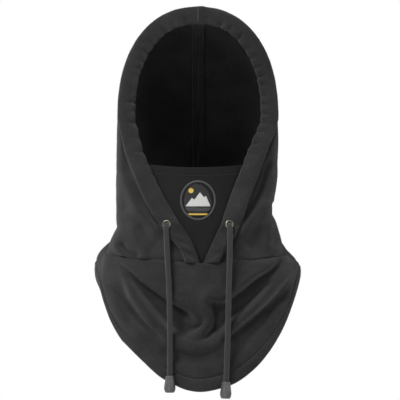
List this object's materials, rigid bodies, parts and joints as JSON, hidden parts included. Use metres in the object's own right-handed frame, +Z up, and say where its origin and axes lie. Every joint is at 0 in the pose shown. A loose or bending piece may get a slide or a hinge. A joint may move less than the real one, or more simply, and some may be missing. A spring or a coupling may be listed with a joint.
{
  "type": "balaclava",
  "caption": "Fleece hood with a throat bib, a face mask under the opening, and a drawcord with hanging ends in a casing.",
  "frame": {"origin": "the head's seat: the inside of the crown, where the top of a wearer's head bears", "axes": "+Z up, the wearer looks along -Y, +X to the right of somebody facing the wearer"},
  "size_m": [0.2142, 0.2418, 0.3889],
  "materials": {
    "fleece": "matte",
    "mask_cloth": "matte",
    "cord": "matte",
    "cord_end_plastic": "satin",
    "eyelet_metal": "satin",
    "patch_cloth": "matte",
    "patch_thread": "satin",
    "motif_thread": "satin"
  },
  "bodies": {
    "hood": {"hood_panel_left": "fleece", "hood_panel_right": "fleece", "cord_casing_left": "fleece", "cord_casing_right": "fleece", "crown_seam": "fleece", "neck_seam": "fleece", "bib_front": "fleece", "bib_back": "fleece", "bib_hem_front": "fleece", "bib_hem_back": "fleece", "mask_panel": "mask_cloth", "mask_tack_left": "mask_cloth", "mask_tack_right": "mask_cloth", "eyelet_left": "eyelet_metal", "eyelet_right": "eyelet_metal", "eyelet_washer_left": "eyelet_metal", "eyelet_washer_right": "eyelet_metal", "eyelet_backing_left": "mask_cloth", "eyelet_backing_right": "mask_cloth", "drawcord": "cord"},
    "mask_edge": {"mask_hem": "mask_cloth", "mask_patch": "patch_cloth", "patch_border": "patch_thread", "patch_motif": "motif_thread"},
    "left_cord_lead": {"cord_lead_left": "cord"},
    "left_cord_tail": {"cord_tail_left": "cord", "cord_knot_left": "cord"},
    "left_cord_end": {"cord_end_left": "cord_end_plastic"},
    "right_cord_lead": {"cord_lead_right": "cord"},
    "right_cord_tail": {"cord_tail_right": "cord", "cord_knot_right": "cord"},
    "right_cord_end": {"cord_end_right": "cord_end_plastic"}
  },
  "joints": [
    {"name": "mask_pull_down", "type": "slide", "parent": "hood", "child": "mask_edge", "axis": [0, -0.1104, -0.9939], "range_m": [0, 0.038], "deforming": ["mask_panel"]},
    {"name": "left_cord_swing", "type": "hinge", "parent": "hood", "child": "left_cord_lead", "pos_m": [-0.0319, -0.0984, -0.2136], "axis": [-1, 0, 0], "range_deg": [0, 75]},
    {"name": "left_cord_pull", "type": "slide", "parent": "left_cord_lead", "child": "left_cord_tail", "axis": [0.0488, -0.1464, -0.988], "range_m": [0, 0.04]},
    {"name": "left_cord_end_slide", "type": "slide", "parent": "left_cord_tail", "child": "left_cord_end", "axis": [0.0024, 0.1421, 0.9899], "range_m": [0, 0.025]},
    {"name": "right_cord_swing", "type": "hinge", "parent": "hood", "child": "right_cord_lead", "pos_m": [0.0319, -0.0984, -0.2136], "axis": [-1, 0, 0], "range_deg": [0, 75]},
    {"name": "right_cord_pull", "type": "slide", "parent": "right_cord_lead", "child": "right_cord_tail", "axis": [-0.0153, -0.1495, -0.9886], "range_m": [0, 0.04]},
    {"name": "right_cord_end_slide", "type": "slide", "parent": "right_cord_tail", "child": "right_cord_end", "axis": [0.0409, 0.141, 0.9892], "range_m": [0, 0.025]}
  ]
}
